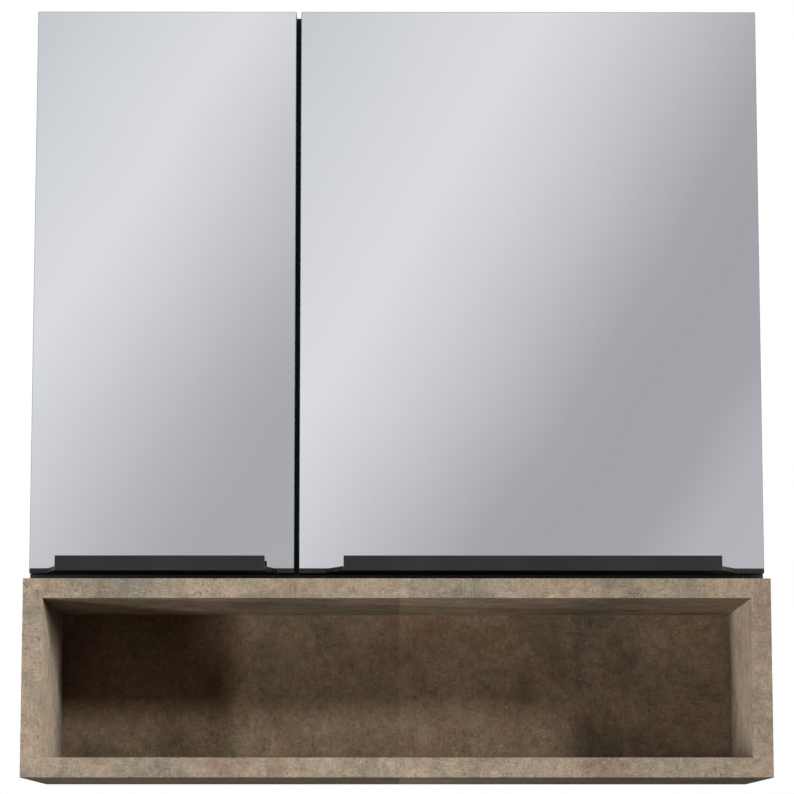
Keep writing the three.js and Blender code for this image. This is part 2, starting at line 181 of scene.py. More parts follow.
class Look:
    """A Principled material, and the nodes that feed it."""

    def __init__(self, name, metallic=0.0):
        self.material = bpy.data.materials.new(name)
        self.material.use_nodes = True
        self.tree = self.material.node_tree
        self.shader = self.tree.nodes["Principled BSDF"]
        self.set("Metallic", metallic)
        self.place = self.add("ShaderNodeTexCoord", {}).outputs["Object"]

    def feed(self, value, socket):
        """Links a socket to another node's output, or sets a fixed value on it."""
        if isinstance(value, bpy.types.NodeSocket):
            self.tree.links.new(value, socket)
        else:
            socket.default_value = value

    def set(self, name, value):
        """Feeds one of the shader's own sockets."""
        self.feed(value, self.shader.inputs[name])

    def add(self, kind, inputs, **settings):
        """A new node, with its settings made and its inputs fed."""
        node = self.tree.nodes.new(kind)
        for name, value in settings.items():
            setattr(node, name, value)
        for socket, value in inputs.items():
            self.feed(value, node.inputs[socket])
        return node

    def shifted(self, x, y, z):
        """The place moved, so that a noise read there doesn't follow the others."""
        node = self.add("ShaderNodeMapping", {"Vector": self.place, "Location": (x, y, z)})
        return node.outputs["Vector"]

    def stretched(self, x, y, z):
        """The place scaled, so that a noise read there is drawn out along an axis with a low scale."""
        node = self.add("ShaderNodeMapping", {"Vector": self.place, "Scale": (x, y, z)})
        return node.outputs["Vector"]

    def axis(self, name):
        """One coordinate of the place: X, Y or Z."""
        return self.add("ShaderNodeSeparateXYZ", {"Vector": self.place}).outputs[name]

    def noise(self, size, detail=3, roughness=0.6, distortion=0.0, place=None):
        """Noise whose lumps are about size across."""
        node = self.add("ShaderNodeTexNoise", {
            "Vector": place or self.place,
            "Scale": 1 / size,
            "Detail": detail,
            "Roughness": roughness,
            "Distortion": distortion,
        })
        return node.outputs["Fac"]

    def cells(self, size):
        """Cells about size across, each with a random value of 0 to 1 of its own."""
        cells = self.add("ShaderNodeTexVoronoi", {"Vector": self.place, "Scale": 1 / size})
        return self.add("ShaderNodeSeparateColor", {"Color": cells.outputs["Color"]}).outputs["Red"]

    def spread(self, value, low, high, to_low=0.0, to_high=1.0):
        """Takes the range low to high to the range to_low to to_high, and holds the value in it."""
        node = self.add("ShaderNodeMapRange", {
            "Value": value,
            "From Min": low,
            "From Max": high,
            "To Min": to_low,
            "To Max": to_high,
        })
        return node.outputs["Result"]

    def varied(self, noise, low, high):
        """A value that wanders between low and high with a noise."""
        return self.spread(noise, NOISE_LOW, NOISE_HIGH, low, high)

    def ramp(self, value, stops):
        """The colour at a value, from [value, colour] stops."""
        node = self.add("ShaderNodeValToRGB", {"Fac": value})
        elements = node.color_ramp.elements
        while len(elements) < len(stops):
            elements.new(0.5)
        for element, (position, colour) in zip(elements, stops):
            element.position = position
            element.color = colour
        return node.outputs["Color"]

    def mix(self, share, under, over, blend="MIX"):
        """One colour over another, by a share of 0 to 1."""
        # sockets 6 and 7 and output 2 are the node's colours
        node = self.add("ShaderNodeMix", {}, data_type="RGBA", blend_type=blend)
        self.feed(share, node.inputs["Factor"])
        self.feed(under, node.inputs[6])
        self.feed(over, node.inputs[7])
        return node.outputs[2]

    def times(self, colour, factor):
        """A colour multiplied by another one, or by a value."""
        return self.mix(1.0, colour, factor, "MULTIPLY")

    def math(self, operation, first, second):
        """Two values added, subtracted or multiplied."""
        return self.add("ShaderNodeMath", {0: first, 1: second}, operation=operation).outputs["Value"]

    def worn(self, colour, bare, share):
        """The colour, with up to a share of the bare one over it along the rounded edges."""
        wear = self.add("ShaderNodeAttribute", {}, attribute_name="wear").outputs["Fac"]
        return self.mix(self.spread(wear, 0.0, 1.0, 0.0, share), colour, bare)

    def bump(self, height, depth, strength):
        """Fine relief, from a height of 0 to 1."""
        node = self.add("ShaderNodeBump", {"Strength": strength, "Distance": depth, "Height": height})
        self.set("Normal", node.outputs["Normal"])


# ---------------------------------------------------------------- the shelf box's decor

# The decor changes tone at the middle of the shelf box, and fades to another tone to the right of it.
SEAM_RIGHT = 2 * MM
SEAM_WIDTH = 0.4 * MM
SEAM_FADE = 160 * MM

# Its fine strokes: their width, and their width as a share of their length.
STROKE_WIDTH = 1.1 * MM
STROKE_SHARE = 0.12


def decor_patches(look, rusting):
    """Broad patches of tan, taupe and olive, with rust and slate over them."""
    colour = look.ramp(look.noise(110 * MM, detail=4, distortion=0.5), [
        (0.36, linear(136, 126, 110)),
        (0.46, linear(158, 143, 122)),
        (0.54, linear(166, 147, 126)),
        (0.64, linear(150, 130, 112)),
    ])
    rust = look.noise(70 * MM, detail=5, roughness=0.65, distortion=0.6, place=look.shifted(3, 5, 7))
    colour = look.mix(look.spread(rust, 0.46, 0.66, 0.0, rusting), colour, linear(134, 107, 84))
    slate = look.noise(60 * MM, detail=6, roughness=0.65, distortion=0.4, place=look.shifted(11, 2, 5))
    slating = rusting + 0.1
    return look.mix(look.spread(slate, 0.53, 0.70, 0.0, slating), colour, linear(104, 102, 94))


def decor_blush(look):
    """Faint spots of hue, from olive through neutral to pink."""
    spots = look.noise(9 * MM, detail=4, roughness=0.7, distortion=0.4, place=look.shifted(8, 3, 2))
    return look.ramp(spots, [
        (0.34, (0.96, 1.01, 0.91, 1)),
        (0.50, (1.0, 1.0, 1.0, 1)),
        (0.66, (1.02, 0.98, 1.0, 1)),
    ])


def decor_strokes(look):
    """Fine strokes that run up in some places and across in others."""
    upright = look.noise(STROKE_WIDTH, place=look.stretched(1, 1, STROKE_SHARE))
    level = look.noise(STROKE_WIDTH, place=look.stretched(STROKE_SHARE, STROKE_SHARE, 1))
    lie = look.noise(25 * MM, detail=2, roughness=0.5, place=look.shifted(5, 9, 1))
    strokes = look.mix(look.spread(lie, 0.46, 0.54), upright, level)
    return look.spread(strokes, 0.34, 0.66, 0.86, 1.14)


def decor_specks(look, size, cluster_size, most, shift, cluster_shift):
    """Specks of about size across, faint on their own and up to most where they cluster."""
    clusters = look.noise(cluster_size, place=look.shifted(*cluster_shift))
    strength = look.spread(clusters, 0.46, 0.62, 0.12, most)
    specks = look.noise(size, detail=4, roughness=0.85, place=look.shifted(*shift))
    return look.math("MULTIPLY", look.spread(specks, 0.56, 0.62), strength)


def decor_seam(look, along_x, step, far):
    """The tone along X: 1 as far as the seam, step just beyond it, and far where the fade ends."""
    seam = middle.x + SEAM_RIGHT
    beyond = look.spread(along_x, seam, seam + SEAM_WIDTH)
    fading = look.spread(along_x, seam + SEAM_WIDTH, seam + SEAM_FADE, step - 1.0, far - 1.0)
    return look.math("ADD", look.math("MULTIPLY", beyond, fading), 1.0)


def decor_look(name, tone, rusting, step, far=1.0, cut=(0, 0, 0)):
    """Rusty stone-look melamine: large patches under a sandy grain, strokes, flecks and pits.

    tone multiplies its colour, and rusting is the strength of its rust. step and far are the tone to
    the right of its seam. cut is where on the printed sheet the board was cut.
    """
    look = Look(name)
    along_x = look.axis("X")
    look.place = look.shifted(*cut)
    mottling = look.noise(7.5 * MM, detail=6, roughness=0.78, distortion=0.2)
    grain = look.noise(1.8 * MM, detail=4, roughness=0.8)
    flecks = decor_specks(look, 3.0 * MM, 30 * MM, most=0.7, shift=(1, 8, 4), cluster_shift=(2, 4, 6))
    pits = decor_specks(look, 2.6 * MM, 34 * MM, most=0.75, shift=(6, 1, 9), cluster_shift=(9, 7, 3))
    colour = decor_patches(look, rusting)
    colour = look.times(colour, decor_blush(look))
    colour = look.times(colour, look.spread(mottling, 0.36, 0.64, 0.78, 1.18))
    colour = look.times(colour, look.spread(grain, 0.38, 0.62, 0.85, 1.13))
    colour = look.times(colour, decor_strokes(look))
    colour = look.mix(flecks, colour, linear(196, 182, 162))
    colour = look.mix(pits, colour, linear(80, 72, 62))
    colour = look.times(colour, decor_seam(look, along_x, step, far))
    colour = look.times(colour, (*tone, 1.0))
    look.set("Base Color", look.worn(colour, linear(178, 165, 146), share=0.3))
    look.set("Roughness", look.varied(mottling, 0.52, 0.70))
    look.set("Specular IOR Level", 0.0)
    look.bump(look.math("SUBTRACT", grain, pits), depth=0.15 * MM, strength=0.6)
    return look.material


# ---------------------------------------------------------------- the other materials

GLASS_IOR = 1.5


def graphite_look():
    """Fine-grained graphite melamine."""
    look = Look("graphite")
    cloud = look.noise(30 * MM, detail=6, roughness=0.75)
    grain = look.noise(1.4 * MM, detail=4, roughness=0.75)
    colour = look.ramp(cloud, [(0.35, linear(42, 43, 45)), (0.65, linear(46, 47, 49))])
    colour = look.times(colour, look.spread(grain, 0.36, 0.64, 0.78, 1.22))
    look.set("Base Color", look.worn(colour, linear(92, 93, 95), share=0.3))
    look.set("Roughness", look.varied(cloud, 0.46, 0.58))
    look.set("Specular IOR Level", 0.3)
    look.bump(grain, depth=0.1 * MM, strength=0.5)
    return look.material


# The mirrors' colour is a painted reflection: a tone that falls from each door's upper left corner,
# where a step down counts for the slant below of a step across. Each stop is a distance along the fall,
# in mm, and the colour there.
REFLECTION_SLANT = 0.63
MIRROR_PAINTED_REFLECTION = {
    "left": [
        (0, (198, 202, 206)), (80, (208, 211, 215)), (176, (219, 220, 225)), (240, (207, 208, 213)),
        (298, (193, 194, 199)), (346, (180, 182, 187)), (395, (170, 172, 177)), (430, (166, 168, 173)),
        (508, (168, 170, 174)),
    ],
    "right": [
        (0, (198, 202, 205)), (110, (210, 212, 216)), (207, (219, 220, 224)), (270, (207, 208, 213)),
        (329, (193, 194, 199)), (377, (180, 181, 187)), (426, (166, 167, 173)), (480, (162, 163, 169)),
        (556, (163, 164, 170)), (613, (178, 179, 184)), (670, (180, 181, 186)),
    ],
}


def mirror_look(side, low, high):
    """Silvered glass for the door whose mirror fills the box from low to high, with a painted
    reflection in its colour.
    """
    look = Look(f"mirror_{side}", metallic=1.0)
    along = look.math("SUBTRACT", look.axis("X"), low.x)
    down = look.math("SUBTRACT", high.z, look.axis("Z"))
    fall = look.math("ADD", along, look.math("MULTIPLY", down, REFLECTION_SLANT))
    wander = look.varied(look.noise(250 * MM, detail=2, roughness=0.5), -12 * MM, 12 * MM)
    longest = (high.x - low.x) + REFLECTION_SLANT * (high.z - low.z)
    share = look.spread(look.math("ADD", fall, wander), 0.0, longest)
    stops = [(place * MM / longest, linear(*tone)) for place, tone in MIRROR_PAINTED_REFLECTION[side]]
    haze = look.varied(look.noise(4 * MM, detail=2, roughness=0.5), 0.995, 1.005)
    # the painted reflection goes into the silvering's colour
    look.set("Base Color", look.times(look.ramp(share, stops), haze))
    look.set("Roughness", look.varied(look.noise(60 * MM, roughness=0.5), 0.012, 0.03))
    return look.material


def mirror_edge_look():
    """The seamed edge of float glass: green-grey and slightly frosted."""
    look = Look("glass_edge")
    tone = look.noise(10 * MM)
    colour = look.ramp(tone, [(0.35, linear(84, 100, 94)), (0.65, linear(96, 112, 105))])
    look.set("Base Color", colour)
    look.set("Roughness", look.varied(tone, 0.22, 0.32))
    return look.material


def black_metal_look():
    """Black anodised aluminium, drawn along X."""
    look = Look("black_metal", metallic=0.7)
    drawn = look.noise(0.6 * MM, place=look.stretched(0.02, 1, 1))
    cloud = look.noise(50 * MM)
    colour = look.ramp(cloud, [(0.35, linear(35, 37, 37)), (0.65, linear(42, 44, 44))])
    look.set("Base Color", look.worn(colour, linear(112, 116, 118), share=0.45))
    look.set("Roughness", look.varied(drawn, 0.34, 0.48))
    look.bump(drawn, depth=0.03 * MM, strength=0.4)
    return look.material


def shelf_glass_look():
    """Clear float glass with a faint green cast and a few smudges."""
    look = Look("shelf_glass")
    smudge = look.noise(50 * MM, detail=4, distortion=0.5)
    colour = look.ramp(smudge, [(0.3, linear(232, 246, 241)), (0.7, linear(238, 249, 245))])
    look.set("Base Color", colour)
    look.set("Roughness", look.spread(smudge, 0.4, 0.7, 0.0, 0.03))
    look.set("Transmission Weight", 1.0)
    look.set("IOR", GLASS_IOR)
    return look.material


def shelf_edge_look():
    """The ground edge of a glass shelf."""
    look = Look("shelf_edge")
    tone = look.noise(12 * MM)
    grinding = look.noise(4 * MM, detail=2, roughness=0.5)
    colour = look.ramp(tone, [(0.35, linear(116, 158, 144)), (0.65, linear(126, 168, 153))])
    look.set("Base Color", colour)
    look.set("Roughness", look.varied(grinding, 0.16, 0.26))
    look.set("Transmission Weight", 0.8)
    look.set("IOR", GLASS_IOR)
    return look.material


def nickel_look():
    """Nickel-plated steel with light rolling marks."""
    look = Look("nickel", metallic=1.0)
    marks = look.noise(0.8 * MM, place=look.stretched(1, 0.12, 1))
    cloud = look.noise(15 * MM)
    colour = look.ramp(cloud, [(0.3, linear(182, 179, 172)), (0.7, linear(205, 203, 197))])
    look.set("Base Color", look.worn(colour, linear(226, 225, 221), share=0.5))
    look.set("Roughness", look.varied(marks, 0.2, 0.36))
    look.bump(marks, depth=0.02 * MM, strength=0.4)
    return look.material


def zinc_look():
    """Zinc-plated steel, with the flat crystals of its plating."""
    look = Look("zinc", metallic=1.0)
    flake = look.cells(5.5 * MM)
    colour = look.ramp(flake, [(0.0, linear(168, 172, 175)), (1.0, linear(184, 188, 191))])
    look.set("Base Color", look.worn(colour, linear(212, 215, 217), share=0.5))
    look.set("Roughness", look.spread(flake, 0.0, 1.0, 0.34, 0.44))
    look.bump(look.noise(2 * MM), depth=0.04 * MM, strength=0.4)
    return look.material


def hanger_plastic_look():
    """Grey moulded plastic with a fine eroded texture."""
    look = Look("hanger_plastic")
    grain = look.noise(0.7 * MM, detail=2, roughness=0.5)
    cloud = look.noise(20 * MM, roughness=0.5)
    colour = look.ramp(cloud, [(0.3, linear(70, 71, 73)), (0.7, linear(80, 81, 83))])
    look.set("Base Color", look.worn(colour, linear(120, 121, 123), share=0.3))
    look.set("Roughness", look.varied(grain, 0.42, 0.6))
    look.bump(grain, depth=0.06 * MM, strength=0.5)
    return look.material


def silicone_look():
    """Milky clear silicone."""
    look = Look("silicone")
    cloud = look.noise(3 * MM, roughness=0.5)
    colour = look.ramp(cloud, [(0.3, linear(214, 217, 216)), (0.7, linear(232, 234, 233))])
    look.set("Base Color", colour)
    look.set("Roughness", look.varied(cloud, 0.25, 0.4))
    look.set("Transmission Weight", 0.6)
    return look.material


def floor_look():
    """A pale floor that is bright by itself, so that it stays even as far as the eye sees."""
    look = Look("floor")
    tone = look.noise(FLOOR_PATCHES, roughness=0.5)
    colour = look.ramp(tone, [(0.3, (0.05, 0.05, 0.05, 1)), (0.7, (0.06, 0.06, 0.06, 1))])
    look.set("Base Color", colour)
    look.set("Roughness", 0.8)
    look.set("Emission Color", WHITE)
    look.set("Emission Strength", FLOOR_GLOW)
    return look.material


DECOR = decor_look("decor", tone=(0.77, 0.78, 0.82), rusting=0.35, step=1.05, far=0.87)
# A lighter copy of the decor for the boards' downward faces: painted light, brighter still just right
# of the seam.
DECOR_PAINTED_UNDERLIGHT = decor_look("decor_under_painted_light", tone=(0.95, 0.95, 0.98), rusting=0.35, step=1.5)
# A darker, rustier copy of the decor for the niche's back board. Its darkness is partly its own rust
# and print and partly painted shade at the back of the niche.
DECOR_BACK_PRINT_AND_SHADE = decor_look(
    "decor_back", tone=(0.60, 0.545, 0.505), rusting=0.62, step=1.24, far=1.17,
    cut=(-1.818, -2.525, -2.485),
)
GRAPHITE = graphite_look()
BLACK_METAL = black_metal_look()
SHELF_GLASS = shelf_glass_look()
SHELF_EDGE = shelf_edge_look()
MIRROR_EDGE = mirror_edge_look()
NICKEL = nickel_look()
ZINC = zinc_look()
HANGER_PLASTIC = hanger_plastic_look()
SILICONE = silicone_look()

# the materials of the nodes that keep their own shape, by slot
BY_SLOT = {"graphite": GRAPHITE, "black_metal": BLACK_METAL, "nickel": NICKEL, "zinc": ZINC}

# ---------------------------------------------------------------- mesh tools

# Points closer than WELD are one point, and faces that turn less than FLAT are one face. Edges that
# turn more than SHARP are rounded, and edges that turn less than CRISP shade smoothly.
WELD = 0.01 * MM
FLAT = math.radians(0.4)
SHARP = math.radians(32)
CRISP = math.radians(47)

# A face looks along a direction if its normal reaches FACING along it, and a joint face is mitred if
# its normal reaches MITRED along both X and Z.
FACING = 0.999
MITRED = 0.5


def round_edges(mesh, radius, segments=2, keep=None):
    """Rounds a mesh's sharp edges. keep(edge) says which of them stay sharp.

    The vertex value wear is 1 along the middle of each rounded edge.
    """
    between_faces = [edge for edge in mesh.edges if len(edge.link_faces) == 2]
    sharp = [edge for edge in between_faces if edge.calc_face_angle() > SHARP]
    if keep:
        sharp = [edge for edge in sharp if not keep(edge)]
    made = bmesh.ops.bevel(
        mesh, geom=sharp, offset=radius, offset_type="OFFSET", segments=segments,
        profile=0.5, affect="EDGES", clamp_overlap=True,
    )
    for edge in mesh.edges:
        edge.smooth = len(edge.link_faces) == 2 and edge.calc_face_angle() < CRISP
    round_faces = set(made["faces"])
    wear = mesh.verts.layers.float.get("wear") or mesh.verts.layers.float.new("wear")
    for vertex in mesh.verts:
        vertex[wear] = float(all(face in round_faces for face in vertex.link_faces))
    return mesh


def rounded(node, radius, segments=2, keep=None):
    """The node's own shape with its sharp edges rounded."""
    mesh = bmesh.new()
    mesh.from_mesh(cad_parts[node].data)
    bmesh.ops.remove_doubles(mesh, verts=mesh.verts, dist=WELD)
    bmesh.ops.dissolve_limit(mesh, angle_limit=FLAT, verts=mesh.verts, edges=mesh.edges)
    return round_edges(mesh, radius, segments, keep)


def softened(mesh, radius, segments=2):
    """A mesh made here, with its faces turned outwards and its sharp edges rounded."""
    bmesh.ops.recalc_face_normals(mesh, faces=mesh.faces)
    return round_edges(mesh, radius, segments)


def looks_along(face, direction):
    """True for a face that looks along a direction."""
    return face.normal.dot(direction) > FACING


def in_mitre(edge):
    """True for an edge of a slanting joint face, which has to meet the next board without a groove."""
    return any(abs(face.normal.x) > MITRED and abs(face.normal.z) > MITRED for face in edge.link_faces)


def add_piece(node, mesh, body, materials, pick=lambda face: 0):
    """Makes the mesh the piece that replaces a node. pick(face) says which material a face takes."""
    name = f"{node}_finished"
    data = bpy.data.meshes.new(name)
    for face in mesh.faces:
        face.smooth = True
        face.material_index = pick(face)
    mesh.to_mesh(data)
    mesh.free()
    for material in materials:
        data.materials.append(material)
    piece = bpy.data.objects.new(name, data)
    show(piece)
    weighted = piece.modifiers.new("even_faces", "WEIGHTED_NORMAL")
    weighted.keep_sharp = True
    weighted.weight = 100
    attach(piece, body)
    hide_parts(node)


def finish_node(node, body, slot, radius, segments=2):
    """The node's own shape with rounded edges, in its slot's material."""
    add_piece(node, rounded(node, radius, segments), body, [BY_SLOT[slot]])


# ---------------------------------------------------------------- boards, doors and glass

# radii of the rounded edges
DECOR_EDGE = 0.5 * MM
DECOR_BACK_EDGE = 0.3 * MM
BOARD_EDGE = 0.4 * MM
BACK_PANEL_EDGE = 0.2 * MM
GRIP_EDGE = 0.35 * MM
MIRROR_GLASS_EDGE = 0.45 * MM
SHELF_GLASS_EDGE = 0.5 * MM


def add_shelf_box():
    """Four boards mitred at the corners, with painted light on their downward faces, and the back board
    with painted shade.
    """
    for part in ("bottom", "top", "left", "right"):
        node = f"shelf_box_{part}"
        board = rounded(node, DECOR_EDGE, keep=in_mitre)
        # faces that look down take the lighter copy of the decor, as painted light
        add_piece(node, board, "cabinet", [DECOR, DECOR_PAINTED_UNDERLIGHT],
                  pick=lambda face: 1 if looks_along(face, -UP) else 0)
    # the back board takes the darker copy of the decor, partly painted shade
    back = "shelf_box_back"
    add_piece(back, rounded(back, DECOR_BACK_EDGE), "cabinet", [DECOR_BACK_PRINT_AND_SHADE])


def add_carcass():
    """The boards of the mirror cabinet, and its thin back panel."""
    for part in ("side_left", "side_right", "bottom", "top", "partition"):
        finish_node(f"carcass_{part}", "cabinet", "graphite", BOARD_EDGE)
    finish_node("carcass_back", "cabinet", "graphite", BACK_PANEL_EDGE)


def add_door(side):
    """A door's board, grip and mirror: silvered with a painted reflection at the front, and bare glass
    at the edges.
    """
    body = f"{side}_door"
    finish_node(f"{side}_door_board", body, "graphite", BOARD_EDGE)
    finish_node(f"{side}_door_grip", body, "black_metal", GRIP_EDGE)
    node = f"{side}_door_mirror"
    # the mirror's material: silvering with a painted reflection in its colour
    silver_and_painted_reflection = mirror_look(side, *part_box(node))
    add_piece(node, rounded(node, MIRROR_GLASS_EDGE), body, [silver_and_painted_reflection, MIRROR_EDGE],
              pick=lambda face: 0 if looks_along(face, -BACK) else 1)


def add_shelves():
    """Glass shelves, clear through their flat faces and green at their edges."""
    for side in SIDES:
        for level in LEVELS:
            node = f"glass_shelf_{side}_{level}"
            glass = rounded(node, SHELF_GLASS_EDGE)
            add_piece(node, glass, "cabinet", [SHELF_GLASS, SHELF_EDGE],
                      pick=lambda face: 0 if looks_along(face, UP) or looks_along(face, -UP) else 1)


# ---------------------------------------------------------------- tools for the hardware

TURNED_SIDES = 32
ARC_STEPS = 6


def metres(points):
    """Points in millimetres as points in metres."""
    return [(x * MM, y * MM) for x, y in points]


def ring(mesh, points):
    """New vertices at the points."""
    return [mesh.verts.new(point) for point in points]


def circle(radius, height, sides):
    """Points round the Z axis."""
    angles = [2 * math.pi * step / sides for step in range(sides)]
    return [(radius * math.cos(angle), radius * math.sin(angle), height) for angle in angles]


def arc(x, y, radius, start, end):
    """Points round a centre, from one angle to another, in degrees."""
    angles = [math.radians(start + (end - start) * step / ARC_STEPS) for step in range(ARC_STEPS + 1)]
    return [(x + radius * math.cos(angle), y + radius * math.sin(angle)) for angle in angles]


def rectangle(x0, x1, y0, y1):
    """A rectangle, anticlockwise."""
    return [(x0, y0), (x1, y0), (x1, y1), (x0, y1)]


def rounded_rectangle(x0, x1, y0, y1, radius):
    """A rectangle with round corners, anticlockwise."""
    return (
        arc(x1 - radius, y1 - radius, radius, 0, 90)
        + arc(x0 + radius, y1 - radius, radius, 90, 180)
        + arc(x0 + radius, y0 + radius, radius, 180, 270)
        + arc(x1 - radius, y0 + radius, radius, 270, 360)
    )


def bridge(mesh, rings):
    """Faces between each ring and the next, which has the same number of points."""
    for lower, upper in zip(rings, rings[1:]):
        count = len(lower)
        for here in range(count):
            after = (here + 1) % count
            mesh.faces.new((lower[here], lower[after], upper[after], upper[here]))


def turned(mesh, profile, sides=TURNED_SIDES):
    """A closed turned shape about Z, from [radius, height] pairs that start and end off the axis."""
    rings = [ring(mesh, circle(radius, height, sides)) for radius, height in profile]
    bridge(mesh, rings)
    mesh.faces.new(list(reversed(rings[0])))
    mesh.faces.new(rings[-1])


def prism(mesh, outline, low, high):
    """An outline in X and Y, anticlockwise, raised from low to high along Z."""
    lower, upper = (ring(mesh, [(x, y, height) for x, y in outline]) for height in (low, high))
    bridge(mesh, [lower, upper])
    mesh.faces.new(list(reversed(lower)))
    mesh.faces.new(upper)


def placed(mesh, origin, across, up, out):
    """Moves a mesh drawn with X across, Y up and Z out to its place in the frame."""
    turn = Matrix((across, up, out)).transposed().to_4x4()
    mesh.transform(Matrix.Translation(origin) @ turn)
    if turn.determinant() < 0:
        bmesh.ops.reverse_faces(mesh, faces=mesh.faces)


def joined(*parts):
    """One mesh with everything that is in the parts."""
    total = bmesh.new()
    for part in parts:
        held = bpy.data.meshes.new("held")
        part.to_mesh(held)
        part.free()
        total.from_mesh(held)
        bpy.data.meshes.remove(held)
    return total


# ---------------------------------------------------------------- screws

SCREW_SIDES = 24
# [radius, height] of the head's side and dome, as shares of the head's radius and height
SCREW_DOME = [(1.0, 0.0), (1.0, 0.45), (0.93, 0.8), (0.76, 1.0)]
# the cross: half an arm's width and its reach, as shares of the radius
CROSS_HALF = 0.17
CROSS_REACH = 0.58
# the cross's floor: how much smaller it is than the mouth, and its height as a share of the head's
CROSS_TAPER = 0.75
CROSS_FLOOR = 0.25


def cross_outline(half, reach):
    """A cross, anticlockwise: the end of an arm and the corner after it, turned four times."""
    quarter = [(reach, -half), (reach, half), (half, half)]
    outline = []
    for _ in range(4):
        outline += quarter
        quarter = [(-y, x) for x, y in quarter]
    return outline


def screw(mesh, radius, height, x, y, base):
    """A domed screw head with a cross recess, that stands on base at x and y."""
    start = len(mesh.verts)
    dome = [ring(mesh, circle(radius * wide, height * high, SCREW_SIDES)) for wide, high in SCREW_DOME]
    bridge(mesh, dome)
    mesh.faces.new(list(reversed(dome[0])))
    cross = cross_outline(radius * CROSS_HALF, radius * CROSS_REACH)
    mouth = ring(mesh, [(u, v, height) for u, v in cross])
    floor = ring(mesh, [(u * CROSS_TAPER, v * CROSS_TAPER, height * CROSS_FLOOR) for u, v in cross])
    bridge(mesh, [floor, mouth])
    mesh.faces.new(floor)
    loops = []
    for loop in (dome[-1], mouth):
        loops += [mesh.edges.get(pair) for pair in zip(loop, loop[1:] + loop[:1])]
    bmesh.ops.triangle_fill(mesh, use_beauty=True, use_dissolve=False, edges=loops, normal=UP)
    mesh.verts.ensure_lookup_table()
    for vertex in mesh.verts[start:]:
        vertex.co += Vector((x, y, base))


# ---------------------------------------------------------------- hinges

HINGE_SCREW_RADIUS = 3.2 * MM
HINGE_SCREW_HEIGHT = 1.6 * MM

# A cup is drawn with X away from the hinged edge, Y up and Z out of the door's back.
# [radius, height] in mm: the underside, the outer wall, the rolled rim, the inner wall and the floor
CUP_PROFILE = [
    (0.5, -11.5), (15.8, -11.5), (17.0, -11.0), (17.3, -10.0),
    (17.3, 0.0), (19.0, 0.0), (19.0, 0.5), (18.7, 0.85), (18.2, 1.0),
    (16.9, 1.0), (16.3, 0.8), (16.0, 0.3),
    (16.0, -8.8), (15.6, -9.8), (14.8, -10.2), (0.5, -10.2),
]
CUP_SIDES = 64
CUP_FLOOR = CUP_PROFILE[-1][1] * MM
CUP_EDGE = 0.12 * MM
# the ears start from a circle under the rim, and lie just clear of the door
EAR_CIRCLE = 17.9 * MM
EAR_FROM = -0.5 * MM
EAR_TO = 14.5 * MM
EAR_REACH = 29 * MM
EAR_CORNER = 4 * MM
EAR_UNDERSIDE = 0.02 * MM
EAR_TOP = 0.85 * MM
EAR_SCREW_RISE = 24 * MM
EAR_SCREW_HEIGHT = 1.5 * MM
# the bracket on the cup's floor: its base, and the two cheeks that hold the link
BRACKET_FROM = -6 * MM
BRACKET_TO = 8 * MM
BRACKET_HALF = 6.5 * MM
BRACKET_CORNER = 1 * MM
BRACKET_THICK = 1 * MM
CHEEK_FROM = -5 * MM
CHEEK_TO = 7 * MM
CHEEK_THICK = 1.1 * MM
CHEEK_TOP = -5 * MM
CHEEK_SUNK = 0.1 * MM

# An arm is a folded channel, with its screws on its back.
ARM_WALL = 1.3 * MM
ARM_HALF = 7 * MM
ARM_TALL = 8 * MM
ARM_BEND = 1.8 * MM
ARM_EDGE = 0.15 * MM
ARM_SCREW_PLACES = (21 * MM, 42 * MM)
ARM_SCREW_SUNK = 0.1 * MM

# A plate is a ridge with a wing above and below. The wings start and end short of its ends.
WING_FRONT = 10 * MM
WING_REAR = 6 * MM
WING_REACH = 23 * MM
WING_CORNER = 4 * MM
WING_THICK = 2.5 * MM
WING_SCREW_RISE = 17 * MM
WING_SCREW_SUNK = 0.05 * MM
RIDGE_HALF = 5.2 * MM
RIDGE_CORNER = 1 * MM
RIDGE_UNDERSIDE = 0.1 * MM
RIDGE_TOP = 7.6 * MM
PLATE_EDGE = 0.25 * MM

LINK_EDGE = 0.7 * MM
LINK_SEGMENTS = 3


def inward_from(side):
    """The direction from a side of the cabinet to its middle."""
    return RIGHT if side == "left" else -RIGHT


def on_cabinet_side(side, node):
    """The middle of a node's front end, where it meets the cabinet's side, and the node's length."""
    low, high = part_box(node)
    face = low.x if side == "left" else high.x
    return Vector((face, low.y, (low.z + high.z) / 2)), high.y - low.y


def ear_outline():
    """The upper ear: along the cup's rim, and back round its two outer corners."""
    rim = []
    for step in range(ARC_STEPS + 1):
        x = EAR_FROM + (EAR_TO - EAR_FROM) * step / ARC_STEPS
        rim.append((x, math.sqrt(EAR_CIRCLE ** 2 - x ** 2)))
    corner_y = EAR_REACH - EAR_CORNER
    far_corner = arc(EAR_TO - EAR_CORNER, corner_y, EAR_CORNER, 0, 90)
    near_corner = arc(EAR_FROM + EAR_CORNER, corner_y, EAR_CORNER, 90, 180)
    return rim + far_corner + near_corner


def add_bracket(mesh):
    """The bracket on a cup's floor, into the cup's mesh."""
    base = rounded_rectangle(BRACKET_FROM, BRACKET_TO, -BRACKET_HALF, BRACKET_HALF, BRACKET_CORNER)
    base_top = CUP_FLOOR + BRACKET_THICK
    prism(mesh, base, CUP_FLOOR, base_top)
    for low in (BRACKET_HALF - CHEEK_THICK, -BRACKET_HALF):
        cheek = rectangle(CHEEK_FROM, CHEEK_TO, low, low + CHEEK_THICK)
        prism(mesh, cheek, base_top - CHEEK_SUNK, CHEEK_TOP)


